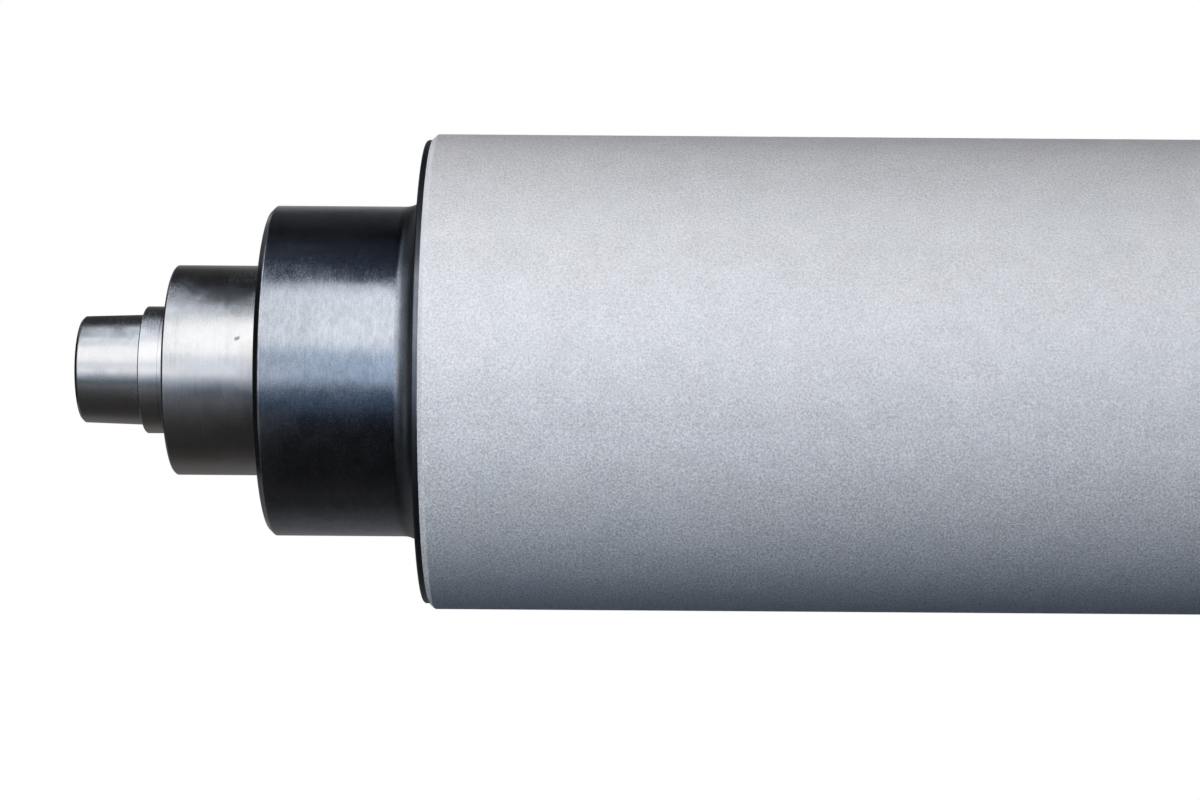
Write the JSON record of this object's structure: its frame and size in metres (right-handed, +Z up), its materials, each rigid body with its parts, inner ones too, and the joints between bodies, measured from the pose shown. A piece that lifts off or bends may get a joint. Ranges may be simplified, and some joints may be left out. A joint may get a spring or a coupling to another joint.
{
  "type": "winding roller",
  "caption": "Steel winding roller: a sprayed grey body with blackened flanged hubs and bright stepped stub shafts with bearing seats.",
  "frame": {"origin": "the middle of the roller, on its axis", "axes": "X along the roller's axis, with the end that the picture shows at -X; +Z up"},
  "size_m": [0.7332, 0.158, 0.1579],
  "materials": {
    "sprayed_face": "matte",
    "blackened_steel": "satin",
    "ground_steel": "satin"
  },
  "bodies": {
    "root": {"roller_shell": "sprayed_face", "left_head": "blackened_steel", "right_head": "blackened_steel", "left_stub_shaft": "ground_steel", "right_stub_shaft": "ground_steel"}
  },
  "joints": []
}
